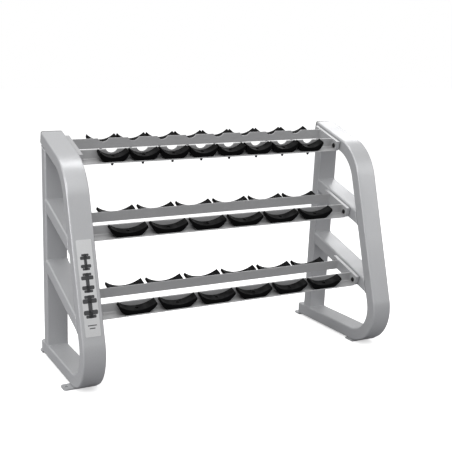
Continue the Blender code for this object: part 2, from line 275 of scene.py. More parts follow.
def newGroup(name, kind, inputs, outputs):
    # a node group, the sockets that its inputs arrive by and those that its outputs leave by
    group = bpy.data.node_groups.new(name, kind)
    for label, data, value in inputs:
        socket = group.interface.new_socket(label, in_out="INPUT", socket_type="NodeSocket" + data)
        if value is not None:
            socket.default_value = value
    for label, data in outputs:
        group.interface.new_socket(label, in_out="OUTPUT", socket_type="NodeSocket" + data)
    return group, group.nodes.new("NodeGroupInput").outputs, group.nodes.new("NodeGroupOutput").inputs


def newTree(name, inputs):
    # every geometry tree takes a shape and a material besides its own inputs
    inputs = [("Geometry", "Geometry", None), *inputs, ("Material", "Material", None)]
    return newGroup(name, "GeometryNodeTree", inputs, [("Geometry", "Geometry")])


def finishTree(tree, result, geometry, material):
    real = put(tree, "GeometryNodeRealizeInstances", {"Geometry": geometry})
    painted = put(tree, "GeometryNodeSetMaterial", {"Geometry": real, "Material": material})
    feed(tree, result["Geometry"], painted)
    return tree


def runTree(obj, tree, values):
    # each value goes in by its socket's identifier before the object is first evaluated
    modifier = obj.modifiers.new(tree.name, "NODES")
    modifier.node_group = tree
    for socket in tree.interface.items_tree:
        if socket.in_out == "INPUT" and socket.name in values:
            modifier[socket.identifier] = values[socket.name]
    return evaluated(obj)


def pathCurve(name, runs, cyclic=False):
    curve = bpy.data.curves.new(name, "CURVE")
    curve.dimensions = "3D"
    for run in runs:
        spline = curve.splines.new("POLY")
        spline.points.add(len(run) - 1)
        for point, place in zip(spline.points, run):
            point.co = (*place, 1)
        spline.use_cyclic_u = cyclic
    return addObject(name, curve)


def bentTubeTree():
    tree, given, result = newTree("bentTube", [
        ("Width", "Float", 0.1),
        ("Depth", "Float", 0.06),
        ("Corner", "Float", 0.008),
        ("Corner Steps", "Int", 6),
        ("Base Bend", "Float", 0.16),
        ("Top Bend", "Float", 0.2),
        ("Bend Steps", "Int", 48),
    ])
    index = put(tree, "GeometryNodeInputIndex")
    # the path's second point is the bend at the base, the third is the one at the top
    atBase = put(tree, "FunctionNodeCompare", {2: index, 3: 1}, data_type="INT", operation="EQUAL")
    bend = {"Switch": atBase, "False": given["Top Bend"], "True": given["Base Bend"]}
    radius = put(tree, "GeometryNodeSwitch", bend, input_type="FLOAT")
    path = {"Curve": given["Geometry"], "Radius": radius, "Count": given["Bend Steps"]}
    bent = put(tree, "GeometryNodeFilletCurve", path, mode="POLY")
    box = {"Width": given["Width"], "Height": given["Depth"]}
    section = put(tree, "GeometryNodeCurvePrimitiveQuadrilateral", box)
    corners = {"Curve": section, "Radius": given["Corner"], "Count": given["Corner Steps"]}
    rounded = put(tree, "GeometryNodeFilletCurve", corners, mode="POLY")
    swept = put(tree, "GeometryNodeCurveToMesh", {"Curve": bent, "Profile Curve": rounded, "Fill Caps": True})
    return finishTree(tree, result, swept, given["Material"])


def weldBeadTree():
    tree, given, result = newTree("weldBead", [
        ("Bead Radius", "Float", 0.002),
        ("Ripple Pitch", "Float", 0.003),
        ("Ripple Depth", "Float", 0.12),
        ("Wander", "Float", 0.15),
        ("Seed", "Float", 3.0),
        ("Sides", "Int", 8),
    ])
    step = maths(tree, "MULTIPLY", given["Ripple Pitch"], 0.34)
    fine = put(tree, "GeometryNodeResampleCurve", {"Curve": given["Geometry"], "Length": step}, mode="LENGTH")
    along = put(tree, "GeometryNodeSplineParameter")
    count = maths(tree, "DIVIDE", along.outputs["Length"], given["Ripple Pitch"])
    wave = maths(tree, "SINE", maths(tree, "MULTIPLY", count, 2 * math.pi))
    ripple = maths(tree, "MULTIPLY_ADD", wave, given["Ripple Depth"], 1.0)
    place = put(tree, "GeometryNodeInputPosition")
    field = {"Vector": place, "W": given["Seed"], "Scale": 70.0, "Detail": 1.0}
    noise = put(tree, "ShaderNodeTexNoise", field, noise_dimensions="4D")
    centred = maths(tree, "SUBTRACT", noise, 0.5)
    wander = maths(tree, "MULTIPLY_ADD", centred, given["Wander"], ripple)
    radius = maths(tree, "MULTIPLY", wander, given["Bead Radius"])
    ring = put(tree, "GeometryNodeCurvePrimitiveCircle", {"Resolution": given["Sides"], "Radius": 1.0})
    sweep = {"Curve": fine, "Profile Curve": ring, "Scale": radius, "Fill Caps": True}
    bead = put(tree, "GeometryNodeCurveToMesh", sweep)
    return finishTree(tree, result, bead, given["Material"])


def fastenerTree():
    tree, given, result = newTree("fasteners", [
        ("Fastener", "Object", None),
        ("Size", "Float", 1.0),
        ("Seed", "Int", 1),
    ])
    source = put(tree, "GeometryNodeObjectInfo", {"Object": given["Fastener"], "As Instance": True})
    facing = put(tree, "GeometryNodeInputNamedAttribute", {"Name": "facing"}, data_type="FLOAT_VECTOR")
    aim = put(tree, "FunctionNodeAlignRotationToVector", {"Vector": facing}, axis="Z")
    # inputs 2 and 3 are the least and the most of a random number
    chance = {"Seed": given["Seed"], 2: 0.0, 3: 2 * math.pi}
    spin = put(tree, "FunctionNodeRandomValue", chance, data_type="FLOAT").outputs[1]
    twist = put(tree, "FunctionNodeAxisAngleToRotation", {"Angle": spin, "Axis": (0, 0, 1)})
    turned = put(tree, "FunctionNodeRotateRotation", {0: aim, 1: twist}, rotation_space="LOCAL")
    placedOn = put(tree, "GeometryNodeInstanceOnPoints", {
        "Points": given["Geometry"], "Instance": source.outputs["Geometry"], "Rotation": turned,
        "Scale": given["Size"],
    })
    return finishTree(tree, result, placedOn, given["Material"])


def saddleRowTree():
    tree, given, result = newTree("saddleRow", [
        ("Count", "Int", 6),
        ("Pitch", "Float", 0.19),
    ])
    gaps = maths(tree, "SUBTRACT", given["Count"], 1.0)
    reach = maths(tree, "MULTIPLY", gaps, given["Pitch"])
    begin = put(tree, "ShaderNodeCombineXYZ", {"X": maths(tree, "MULTIPLY", reach, -0.5)})
    step = put(tree, "ShaderNodeCombineXYZ", {"X": given["Pitch"]})
    spread = {"Count": given["Count"], "Start Location": begin, "Offset": step}
    line = put(tree, "GeometryNodeMeshLine", spread, mode="OFFSET")
    row = put(tree, "GeometryNodeInstanceOnPoints", {"Points": line, "Instance": given["Geometry"]})
    return finishTree(tree, result, row, given["Material"])


def mixColours(tree, factor, first, second):
    # a Mix node has sockets for each kind of data: colours go in by 6 and 7 and out by 2
    return put(tree, "ShaderNodeMix", {0: factor, 6: first, 7: second}, data_type="RGBA").outputs[2]


def ramp(tree, source, low, high, floor=0.0, ceiling=1.0):
    return put(tree, "ShaderNodeMapRange", {
        "Value": source, "From Min": low, "From Max": high, "To Min": floor, "To Max": ceiling,
    })


def texture(tree, kind, where, **values):
    return put(tree, "ShaderNodeTex" + kind, {"Vector": where, **values})


def powderGrainGroup():
    # fine metal flake, orange peel and slow drifts of tone, as sprayed powder coat has
    group, given, result = newGroup("powderGrain", "ShaderNodeTree", [
        ("Vector", "Vector", None),
        ("Base", "Color", (0.5, 0.5, 0.5, 1)),
        ("Flake", "Color", (0.7, 0.7, 0.7, 1)),
        ("Flake Amount", "Float", 0.3),
        ("Flake Scale", "Float", 1500.0),
        ("Peel Scale", "Float", 260.0),
        ("Roughness", "Float", 0.4),
        ("Roughness Drift", "Float", 0.06),
    ], [("Color", "Color"), ("Roughness", "Float"), ("Height", "Float")])
    deepTone = (0.25, 0.25, 0.26, 1)
    flake = texture(group, "Voronoi", given["Vector"], Scale=given["Flake Scale"])
    tone = put(group, "ShaderNodeSeparateColor", {"Color": flake.outputs["Color"]})
    amount = maths(group, "MULTIPLY", ramp(group, tone, 0.45, 1.0), given["Flake Amount"])
    drift = texture(group, "Noise", given["Vector"], Scale=5.0, Detail=3.0)
    flaked = mixColours(group, amount, given["Base"], given["Flake"])
    drifted = mixColours(group, ramp(group, drift, 0.3, 0.7, 0.0, 0.05), flaked, deepTone)
    peel = texture(group, "Noise", given["Vector"], Scale=given["Peel Scale"], Detail=2.0, Roughness=0.45)
    height = maths(group, "MULTIPLY_ADD", tone.outputs[1], 0.12, peel)
    swing = ramp(group, drift, 0.3, 0.7, -1.0, 1.0)
    rough = maths(group, "MULTIPLY_ADD", swing, given["Roughness Drift"], given["Roughness"])
    for label, source in (("Color", drifted), ("Roughness", rough), ("Height", height)):
        feed(group, result[label], source)
    return group


def edgeWearAndHighlightGroup():
    # where the surface turns sharply, broken up by noise: the mask for painted edge highlights on the paint
    # and the urethane, and for wear to bare steel on the black oxide parts
    group, given, result = newGroup("edgeWear", "ShaderNodeTree", [
        ("Vector", "Vector", None),
        ("Width", "Float", 0.002),
        ("Amount", "Float", 0.4),
        ("Breakup Scale", "Float", 90.0),
    ], [("Mask", "Float")])
    bevel = put(group, "ShaderNodeBevel", {"Radius": given["Width"]}, samples=4)
    plain = put(group, "ShaderNodeNewGeometry").outputs["Normal"]
    same = put(group, "ShaderNodeVectorMath", {0: bevel, 1: plain}, operation="DOT_PRODUCT")
    turn = ramp(group, same.outputs["Value"], 0.995, 0.86)
    noise = texture(group, "Noise", given["Vector"], Scale=given["Breakup Scale"], Detail=4.0, Roughness=0.65)
    wornAndLit = maths(group, "MULTIPLY", turn, ramp(group, noise, 0.38, 0.62, 0.25, 1.0))
    feed(group, result["Mask"], maths(group, "MULTIPLY", wornAndLit, given["Amount"]))
    return group


def facingUp(tree, low, high):
    # from 0 to 1 as the surface's normal turns up
    plain = put(tree, "ShaderNodeNewGeometry").outputs["Normal"]
    return ramp(tree, put(tree, "ShaderNodeSeparateXYZ", {0: plain}).outputs["Z"], low, high)


def settledDustGroup():
    # a thin veil on what faces up
    group, given, result = newGroup("settledDust", "ShaderNodeTree", [
        ("Vector", "Vector", None),
        ("Amount", "Float", 0.1),
        ("Patch Scale", "Float", 14.0),
    ], [("Mask", "Float")])
    where = given["Vector"]
    patches = texture(group, "Noise", where, Scale=given["Patch Scale"], Detail=6.0, Roughness=0.7)
    specks = texture(group, "Noise", where, Scale=900.0, Detail=1.0)
    veil = ramp(group, patches, 0.35, 0.75, 0.2, 1.0)
    speckled = maths(group, "MULTIPLY", veil, ramp(group, specks, 0.4, 0.7, 0.5, 1.0))
    lying = maths(group, "MULTIPLY", speckled, facingUp(group, 0.35, 0.95))
    feed(group, result["Mask"], maths(group, "MULTIPLY", lying, given["Amount"]))
    return group


groups = {"grain": powderGrainGroup(), "wearAndHighlight": edgeWearAndHighlightGroup(), "dust": settledDustGroup()}


def useGroup(tree, name, where, **values):
    inputs = {label.replace("_", " "): value for label, value in values.items()}
    return put(tree, "ShaderNodeGroup", {"Vector": where, **inputs}, node_tree=groups[name])


def newMaterial(name, **fixed):
    material = bpy.data.materials.new(name)
    material.use_nodes = True
    tree = material.node_tree
    shader = tree.nodes["Principled BSDF"]
    for label, value in fixed.items():
        shader.inputs[label.replace("_", " ")].default_value = value
    where = tree.nodes.new("ShaderNodeTexCoord").outputs["Object"]
    return material, tree, shader, where


# each coat's edge amount sets how strongly a painted highlight pales its sharp edges
coats = {
    "frameSilver": {"base": (0.500, 0.505, 0.516, 1), "flake": (0.72, 0.725, 0.74, 1), "flakeAmount": 0.30,
                    "metallic": 0.40, "rough": 0.38, "wearAndHighlight": 0.10, "dust": 0.03},
    "bracketSilver": {"base": (0.500, 0.503, 0.510, 1), "flake": (0.72, 0.725, 0.735, 1), "flakeAmount": 0.30,
                      "metallic": 0.40, "rough": 0.40, "wearAndHighlight": 0.14, "dust": 0.03},
    "railGrey": {"base": (0.490, 0.491, 0.495, 1), "flake": (0.66, 0.66, 0.665, 1), "flakeAmount": 0.30,
                 "metallic": 0.35, "rough": 0.42, "wearAndHighlight": 0.16, "dust": 0.04},
}


def dress(tree, shader, colour, roughness, height, strength, distance):
    # what changes over the surface goes into the material's own shader
    bump = put(tree, "ShaderNodeBump", {"Height": height, "Strength": strength, "Distance": distance})
    for label, source in (("Base Color", colour), ("Roughness", roughness), ("Normal", bump)):
        feed(tree, shader.inputs[label], source)


def coatMaterial(name, coat):
    fixed = {"Metallic": coat["metallic"], "Coat_Weight": 0.12, "Coat_Roughness": 0.22}
    material, tree, shader, where = newMaterial(name, **fixed)
    grain = useGroup(tree, "grain", where, Base=coat["base"], Flake=coat["flake"],
                     Flake_Amount=coat["flakeAmount"], Roughness=coat["rough"])
    wearAndHighlight = useGroup(tree, "wearAndHighlight", where, Amount=coat["wearAndHighlight"], Width=0.0022)
    dust = useGroup(tree, "dust", where, Amount=coat["dust"])
    # the pale edge colour is a painted highlight on sharp edges
    paintedEdgeHighlight, paleDust = (0.72, 0.73, 0.74, 1), (0.62, 0.61, 0.59, 1)
    wornAndLit = mixColours(tree, wearAndHighlight, grain.outputs["Color"], paintedEdgeHighlight)
    dusty = mixColours(tree, dust, wornAndLit, paleDust)
    rough = maths(tree, "MULTIPLY_ADD", dust, 1.2, grain.outputs["Roughness"])
    dress(tree, shader, dusty, rough, grain.outputs["Height"], 0.10, 0.0003)
    return material


def saddleMaterial():
    # moulded urethane: near black, finely pebbled, lighter where it faces up, from rubbing where the heads
    # rest and a painted sheen, with a painted highlight on its edges
    material, tree, shader, where = newMaterial("saddleBlack", Metallic=0.0, Specular_IOR_Level=0.05)
    # the lighter tone on what faces up is rubbing and a painted sheen
    base, rubAndSheenTone = (0.0030, 0.0030, 0.0032, 1), (0.026, 0.026, 0.0268, 1)
    # the paler edge colour is a painted highlight on sharp edges
    edge, paleDust = (0.030, 0.030, 0.032, 1), (0.35, 0.34, 0.33, 1)
    mottle = texture(tree, "Noise", where, Scale=30.0, Detail=5.0, Roughness=0.6)
    pebble = texture(tree, "Voronoi", where, Scale=900.0)
    rubAndPaintedSheen = maths(tree, "MULTIPLY", facingUp(tree, 0.55, 0.98), ramp(tree, mottle, 0.35, 0.7))
    wearAndHighlight = useGroup(tree, "wearAndHighlight", where, Amount=0.35, Width=0.0025, Breakup_Scale=140.0)
    dust = useGroup(tree, "dust", where, Amount=0.006, Patch_Scale=30.0)
    wornAndLit = mixColours(tree, wearAndHighlight, mixColours(tree, rubAndPaintedSheen, base, rubAndSheenTone), edge)
    dusty = mixColours(tree, dust, wornAndLit, paleDust)
    rough = ramp(tree, mottle, 0.3, 0.7, 0.43, 0.59)
    dress(tree, shader, dusty, rough, pebble.outputs["Distance"], 0.22, 0.0004)
    return material


def oxideMaterial():
    material, tree, shader, where = newMaterial("blackOxide", Metallic=0.85)
    dark, brown, bare = (0.012, 0.012, 0.013, 1), (0.030, 0.029, 0.028, 1), (0.16, 0.155, 0.15, 1)
    noise = texture(tree, "Noise", where, Scale=400.0, Detail=4.0)
    wearAndHighlight = useGroup(tree, "wearAndHighlight", where, Amount=0.6, Width=0.0008, Breakup_Scale=500.0)
    tone = mixColours(tree, ramp(tree, noise, 0.35, 0.65), dark, brown)
    rough = ramp(tree, noise, 0.3, 0.7, 0.34, 0.5)
    dress(tree, shader, mixColours(tree, wearAndHighlight, tone, bare), rough, noise, 0.15, 0.0002)
    return material


def zincMaterial():
    material, tree, shader, where = newMaterial("brightZinc", Metallic=1.0)
    dull, bright = (0.58, 0.59, 0.60, 1), (0.72, 0.73, 0.73, 1)
    noise = texture(tree, "Noise", where, Scale=260.0, Detail=5.0)
    cloud = texture(tree, "Voronoi", where, Scale=420.0)
    tone = mixColours(tree, ramp(tree, noise, 0.3, 0.7), dull, bright)
    rough = ramp(tree, cloud.outputs["Distance"], 0.0, 0.8, 0.26, 0.42)
    dress(tree, shader, tone, rough, noise, 0.12, 0.0002)
    return material


def brushedMaterial():
    # aluminium plate, brushed along its length
    material, tree, shader, where = newMaterial("brushedAluminium", Metallic=0.75)
    dull, bright, smudged = (0.70, 0.705, 0.71, 1), (0.83, 0.835, 0.84, 1), (0.5, 0.5, 0.5, 1)
    lean = math.radians(rack["legLean"])
    stretch = put(tree, "ShaderNodeMapping", {
        "Vector": where, "Rotation": (lean, 0, 0), "Scale": (2600, 2600, 30),
    })
    lines = texture(tree, "Noise", stretch, Scale=1.0, Detail=3.0)
    smudge = texture(tree, "Noise", where, Scale=22.0, Detail=4.0)
    tone = mixColours(tree, ramp(tree, lines, 0.3, 0.7), dull, bright)
    dulled = mixColours(tree, ramp(tree, smudge, 0.45, 0.75, 0.0, 0.12), tone, smudged)
    dress(tree, shader, dulled, ramp(tree, smudge, 0.3, 0.7, 0.36, 0.46), lines, 0.08, 0.0002)
    return material


def inkMaterial():
    material, tree, shader, where = newMaterial("plateInk", Metallic=0.0)
    ink, thin = (0.050, 0.051, 0.054, 1), (0.17, 0.17, 0.175, 1)
    noise = texture(tree, "Noise", where, Scale=700.0, Detail=5.0)
    tone = mixColours(tree, ramp(tree, noise, 0.58, 0.74, 0.0, 0.5), ink, thin)
    dress(tree, shader, tone, ramp(tree, noise, 0.3, 0.7, 0.45, 0.6), noise, 0.1, 0.0001)
    return material


def capMaterial():
    # textured black plastic of the tube ends and the screws' caps
    material, tree, shader, where = newMaterial("capBlack", Metallic=0.0, Specular_IOR_Level=0.4)
    dark, faded, paleDust = (0.014, 0.014, 0.015, 1), (0.026, 0.026, 0.027, 1), (0.3, 0.29, 0.28, 1)
    grainy = texture(tree, "Noise", where, Scale=1200.0, Detail=2.0)
    cloud = texture(tree, "Noise", where, Scale=40.0, Detail=3.0)
    dust = useGroup(tree, "dust", where, Amount=0.06, Patch_Scale=40.0)
    tone = mixColours(tree, ramp(tree, cloud, 0.3, 0.7), dark, faded)
    rough = ramp(tree, grainy, 0.3, 0.7, 0.45, 0.6)
    dress(tree, shader, mixColours(tree, dust, tone, paleDust), rough, grainy, 0.25, 0.0003)
    return material


finishes = {name: coatMaterial(name, coat) for name, coat in coats.items()}
finishes["saddleBlack"] = saddleMaterial()
finishes["blackOxide"] = oxideMaterial()
finishes["brightZinc"] = zincMaterial()
finishes["brushedAluminium"] = brushedMaterial()
finishes["plateInk"] = inkMaterial()
finishes["capBlack"] = capMaterial()
print("finishes ready")


endCap = {"thickness": 0.007, "inset": 0.0004, "bevel": 0.0012}


def makeLoops(tree):
    baseAxis, legAxis, topAxis = (offset(face, tube["depth"] / 2) for face in (baseFace, legFace, topFace))
    tail = topAxis[0] - topAxis[1] * endCap["thickness"]
    corners = [baseAxis[0], meet(baseAxis, legAxis), meet(legAxis, topAxis), tail]
    for side, sign in sides.items():
        path = pathCurve("loopPath", [[placed(sign * frameCentre, corner) for corner in corners]])
        mesh = runTree(path, tree, {
            "Width": tube["width"], "Depth": tube["depth"], "Corner": tube["corner"],
            "Corner Steps": tube["cornerSteps"], "Base Bend": tube["baseBend"], "Top Bend": tube["topBend"],
            "Bend Steps": tube["bendSteps"], "Material": finishes["frameSilver"],
        })
        finishPiece(side + "LoopTube", mesh, "frameSilver", "frame_silver", ["end_frame_" + side])


def tubeOutline(inset=0.0):
    width, depth = tube["width"] - 2 * inset, tube["depth"] - 2 * inset
    return roundedBox(width, depth, tube["corner"] - inset, tube["cornerSteps"])


def makeEndCaps():
    # moulded plugs that close the rear ends of the top bars
    along, across = topFace[1], inward(topFace[1])
    middle = offset(topFace, tube["depth"] / 2)[0]
    for side, sign in sides.items():
        def place(x, depth, travel):
            return placed(sign * frameCentre + x, middle + across * depth + along * travel)
        mesh = prism("endCap", tubeOutline(endCap["inset"]), place, rack["fit"] - endCap["thickness"], 0.0)
        mesh = shaped(mesh, endCap["bevel"], 3)
        finishPiece(side + "TopEndCap", mesh, "capBlack", "frame_silver")


def memberRings(x, face, start, end):
    # the outlines of a tube's two ends, each cut along a line
    rings = []
    for line in (start, end):
        edges = [(x + wide, offset(face, tube["depth"] / 2 + deep)) for wide, deep in tubeOutline()]
        rings.append([placed(across, meet(edge, line)) for across, edge in edges])
    return rings


def makeMembers():
    deep = tube["depth"] + rack["fit"]
    welds = []
    postEnds = (offset(topFace, deep), offset(baseFace, deep))
    barEnds = (offset(legFace, deep), offset(postFace, deep))
    for side, sign in sides.items():
        members = [("rearPost", "rear_post_", "post_silver", postFace, postEnds)]
        for level in barHeights:
            names = (level + "Crossbar", level + "_crossbar_", "crossbar_silver")
            members.append((*names, barFaces[level], barEnds))
        for name, node, slot, face, (start, end) in members:
            rings = memberRings(sign * frameCentre, face, start, end)
            piece = side + name[0].upper() + name[1:]
            finishPiece(piece, solid(name, rings), "frameSilver", slot, [node + side])
            welds += rings
    return welds


feet = {
    "plate": 0.008, "depth": 0.064, "tab": 0.041, "setback": 0.459, "lip": 0.005, "corner": 0.014,
    "anchorHole": 0.013, "heelPlate": 0.009, "bevel": 0.0009, "gap": 0.0002, "cutterHalf": 0.03,
}


def drilledPlate(name, outline, place, high, hole):
    # a flat plate with a round hole for an anchor
    drill = cylinders("anchorDrill", [hole], feet["anchorHole"] / 2, feet["cutterHalf"], (0, 0, 1))
    return shaped(prism(name, outline, place, 0, high), cutters=[drill], rimBevel=feet["bevel"])


def makeFeet():
    half, fillet = tube["width"] / 2, tube["corner"]
    corner, gap, heelPlate = feet["corner"], feet["gap"], feet["heelPlate"]
    back = shiftY - feet["setback"]
    front = back - feet["depth"]
    heelBack, seam = shiftY + rack["heelReach"], shiftY + heelPlate
    welds = []
    for side, sign in sides.items():
        x = sign * frameCentre
        inner, outer = -half - feet["lip"], half + feet["tab"]
        outline = [(inner, back), (inner, front)]
        outline += arc((outer - corner, front + corner), corner, -90, 0, 10)
        outline += arc((outer - corner, back - corner), corner, 0, 90, 10)
        hole = (x + sign * (half + feet["tab"] / 2), (front + back) / 2, 0)
        top = feet["plate"] - gap
        mesh = drilledPlate("frontFoot", outline, lambda a, b, z: (x + sign * a, b, z), top, hole)
        finishPiece(side + "FrontFoot", mesh, "frameSilver", "frame_silver")

        outline = [(-half, seam), (half, seam)]
        outline += arc((half - corner, heelBack - corner), corner, 0, 90, 10)
        outline += arc((-half + corner, heelBack - corner), corner, 90, 180, 10)
        hole = (x, (seam + heelBack) / 2, 0)
        mesh = drilledPlate("heelTab", outline, lambda a, b, z: (x + a, b, z), heelPlate, hole)
        finishPiece(side + "HeelTab", mesh, "frameSilver", "frame_silver")

        top = rack["floorGap"] + tube["depth"]
        outline = [(-half, 0), (half, 0)]
        outline += arc((half - fillet, top - fillet), fillet, 0, 90, 8)
        outline += arc((-half + fillet, top - fillet), fillet, 90, 180, 8)
        mesh = prism("heelPlate", outline, lambda a, b, y: (x + a, y, b), shiftY + gap, seam - gap)
        finishPiece(side + "HeelPlate", shaped(mesh, feet["bevel"]), "frameSilver", "frame_silver")

        seams = ((0.84, front, feet["plate"]), (0.84, back, feet["plate"]), (0.94, seam, heelPlate))
        for reach, y, z in seams:
            welds.append([Vector((x - half * reach, y, z)), Vector((x + half * reach, y, z))])
    return welds


loopTree = bentTubeTree()
makeLoops(loopTree)
makeEndCaps()
jointWelds = makeMembers()
footWelds = makeFeet()
print("end frames ready")


# in a tier's own frame +Y runs up the slope and Z = 0 is the rails' top edge
rail = {"leg": 0.050, "plate": 0.005, "gap": 0.114, "fillet": 0.006, "toe": 0.0022,
        "notchRadius": 0.028, "notchDepth": 0.018, "cutterHalf": 0.012, "bevel": 0.0006}
bracket = {"width": 0.022, "standOff": 0.0035, "plate": 0.0035, "corner": 0.009, "bevel": 0.0016,
           "cutterPast": 0.01, "boltReach": 0.085, "boltDrop": 0.028}
saddle = {
    "depth": 0.043, "height": 0.049, "floor": 0.020, "land": 0.004, "end": 0.011, "heel": 0.024,
    "bevel": 0.0017, "sinkRadius": 0.0072, "sinkDepth": 0.0062, "sinkFlare": 1.12,
    "large": {"width": 0.176, "base": 0.108, "pitch": 0.1925},
    "small": {"width": 0.139, "base": 0.094, "pitch": 0.1446},
}
railLength = rack["length"] - 2 * tube["width"] - 2 * bracket["width"] - 4 * rack["fit"]
railFace = rail["gap"] / 2
flangeTop = -rail["leg"] + rail["plate"]
saddleMiddle = railFace + rail["plate"] + rack["fit"] + saddle["depth"] / 2
saddleFoot = flangeTop + rack["fit"]
cradle = saddleFoot + saddle["floor"]   # the lowest point that a dumbbell rests on


def tierMatrix(level):
    face, tier = barFaces[level], tiers[level]
    start = meet(face, legBack)
    reach = tier["setback"] + rail["leg"] + rail["gap"] / 2
    middle = start + face[1] * reach + inward(face[1]) * tier["drop"]
    return Matrix.Translation(placed(0, middle)) @ Matrix.Rotation(slopeAngle, 4, "X")


def saddlePlaces(level):
    kind = saddle[tiers[level]["saddle"]]
    count = tiers[level]["count"]
    return [kind["pitch"] * (i - (count - 1) / 2) for i in range(count)]


def railOutline(end):
    # hot-rolled angle: a fillet inside, rounded toes
    leg, plate, fillet, toe = rail["leg"], rail["plate"], rail["fillet"], rail["toe"]
    points = [(0, 0), (0, -leg), (leg, -leg)]
    points += arc((leg - toe, flangeTop - toe), toe, 0, 90, 4)
    points += arc((plate + fillet, flangeTop + fillet), fillet, 270, 180, 7)
    points += arc((plate - toe, -toe), toe, 0, 90, 4)
    return [(end * (railFace + y), z) for y, z in points]


def makeRails(level, matrix):
    half = railLength / 2
    for place, end in ends.items():
        mesh = prism("rail", railOutline(end), lambda y, z, x: (x, y, z), -half, half)
        cutters = []
        if tiers[level]["notched"]:
            lift = rail["notchRadius"] - rail["notchDepth"]
            spots = [(x, end * railFace, lift) for x in saddlePlaces(level)]
            cutters.append(cylinders("notch", spots, rail["notchRadius"], rail["cutterHalf"], (0, 1, 0), 72))
        mesh = shaped(mesh, cutters=cutters, rimBevel=rail["bevel"])
        mesh.transform(matrix)
        name = level + place.capitalize() + "Rail"
        finishPiece(name, mesh, "railGrey", "rail_grey", [level + "_" + place + "_rail"])


def bracketOutline(inset):
    half, bottom = railFace + rail["leg"] - inset, -rail["leg"] + inset
    radius = bracket["corner"] - inset
    points = [(half, -inset), (-half, -inset)]
    points += arc((-half + radius, bottom + radius), radius, 180, 270, 8)
    points += arc((half - radius, bottom + radius), radius, 270, 360, 8)
    return points


def makeBrackets(level, matrix):
    for side, sign in sides.items():
        near = sign * (railLength / 2 + rack["fit"])
        far = near + sign * (bracket["width"] - bracket["standOff"])
        floor, past = near + sign * bracket["plate"], far + sign * bracket["cutterPast"]
        mesh = prism("bracket", bracketOutline(0), lambda y, z, x: (x, y, z), near, far)
        pocket = prism("pocket", bracketOutline(bracket["plate"]), lambda y, z, x: (x, y, z), floor, past)
        mesh = shaped(mesh, bracket["bevel"], 3, [pocket])
        mesh.transform(matrix)
        name = level + side.capitalize() + "Bracket"
        finishPiece(name, mesh, "bracketSilver", "bracket_silver", [level + "_bracket_" + side])


def saddleOutline(kind):
    # a round cradle above, flanks that round in to the heels of a flat base
    top = saddleFoot + saddle["height"]
    half, halfBase = kind["width"] / 2, kind["base"] / 2
    inner = half - saddle["land"]
    sag = saddle["height"] - saddle["floor"]
    radius = (inner ** 2 + sag ** 2) / (2 * sag)
    swing = math.degrees(math.asin(inner / radius))
    points = arc((0, top - sag + radius), radius, 270 - swing, 270 + swing, 32)
    rise = saddle["height"] - saddle["end"]
    centre = (half ** 2 + rise ** 2 - halfBase ** 2) / (2 * rise)
    flankRadius = math.hypot(halfBase, centre)
    heel = saddle["heel"]
    heelPlace = math.sqrt((flankRadius - heel) ** 2 - (centre - heel) ** 2)
    low = math.degrees(math.atan2(heel - centre, heelPlace))
    high = math.degrees(math.atan2(rise - centre, half))
    flank = arc((0, saddleFoot + centre), flankRadius, high, low, 12)
    flank += arc((heelPlace, saddleFoot + heel), heel, low, -90, 6)[1:]
    return points + flank + [(-x, z) for x, z in reversed(flank)]


def saddleMesh(kind):
    half = saddle["depth"] / 2
    mesh = prism("saddle", saddleOutline(kind), lambda x, z, y: (x, y, z), -half, half)
    radius, depth, flare = saddle["sinkRadius"], saddle["sinkDepth"], saddle["sinkFlare"]
    sink = cylinders("sink", [(0, 0, cradle)], radius, depth, (0, 0, 1), 32, flare)
    return shaped(mesh, saddle["bevel"], 3, [sink])


def makeSaddles(level, matrix, tree):
    # one row is laid out by its tree, then parted into its saddles
    tier = tiers[level]
    kind = saddle[tier["saddle"]]
    for place, end in ends.items():
        row = runTree(addObject("saddleRow", saddleMesh(kind)), tree, {
            "Count": tier["count"], "Pitch": kind["pitch"], "Material": finishes["saddleBlack"],
        })
        size = len(row.vertices) // tier["count"]
        for number in range(tier["count"]):
            bm = bmesh.new()
            bm.from_mesh(row)
            bm.verts.ensure_lookup_table()
            others = [v for v in bm.verts if v.index // size != number]
            bmesh.ops.delete(bm, geom=others, context="VERTS")
            mesh = bpy.data.meshes.new("saddle")
            bm.to_mesh(mesh)
            bm.free()
            mesh.transform(matrix @ Matrix.Translation((0, end * saddleMiddle, 0)))
            name = level + place.capitalize() + "Saddle" + str(number + 1)
            node = level + "_" + place + "_saddle_" + str(number + 1)
            finishPiece(name, mesh, "saddleBlack", "saddle_black", [node], sharp=50)
        bpy.data.meshes.remove(row)


rowTree = saddleRowTree()
for level in tiers:
    matrix = tierMatrix(level)
    makeRails(level, matrix)
    makeBrackets(level, matrix)
    makeSaddles(level, matrix, rowTree)
print("tiers ready")


weld = {"radius": 0.0024, "railRadius": 0.00216, "ripplePitch": 0.0032, "rippleDepth": 0.10,
        "wander": 0.25, "seed": 3.0, "edgeGap": 0.006, "cornerGap": 0.004, "endGap": 0.003}


def railWelds():
    # along both legs of each rail, where it meets the plate of its bracket
    leg, plate = rail["leg"], rail["plate"]
    edge, corner = weld["edgeGap"], weld["cornerGap"]
    inside = [(plate, -edge), (plate, flangeTop + corner)]
    inside += [(plate + corner, flangeTop), (leg - edge, flangeTop)]
    outside = [(0, -corner), (0, -leg + weld["endGap"])]
    runs = []
    for level in tiers:
        matrix = tierMatrix(level)
        for end in ends.values():
            for sign in sides.values():
                x = sign * railLength / 2
                for run in (inside, outside):
                    runs.append([matrix @ Vector((x, end * (railFace + y), z)) for y, z in run])
    return runs


